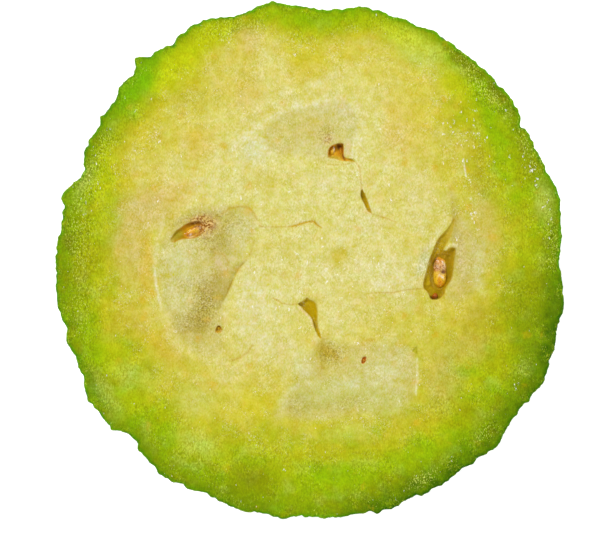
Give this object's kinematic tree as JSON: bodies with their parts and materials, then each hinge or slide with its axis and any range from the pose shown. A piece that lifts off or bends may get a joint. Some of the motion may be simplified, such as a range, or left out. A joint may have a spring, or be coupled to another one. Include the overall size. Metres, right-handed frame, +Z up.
{
  "type": "feijoa half",
  "caption": "Half of a green feijoa cut straight across, cut face up, with jelly-filled seed chambers, small seeds and a crown of dry sepals underneath.",
  "frame": {"origin": "on the table, under the middle of the fruit's outline", "axes": "+Z up, square to the cut face; +Y and +X are the two ways across the cut face"},
  "size_m": [0.0448, 0.0454, 0.031],
  "materials": {
    "fruit": "moist cut flesh inside a rough dark green skin",
    "seed": "wet and glossy",
    "sepal": "dry, dull and downy",
    "style": "dry and dull"
  },
  "bodies": {
    "root": {"fruit_half": "fruit", "seed_right_lying": "seed", "seed_right_upright": "seed", "seed_top_left": "seed", "seed_top_right": "seed", "seed_left_lying": "seed", "seed_left_upright": "seed", "seed_lower_upright": "seed", "sepal_1": "sepal", "sepal_2": "sepal", "sepal_3": "sepal", "sepal_4": "sepal", "style_stub": "style"}
  },
  "joints": []
}
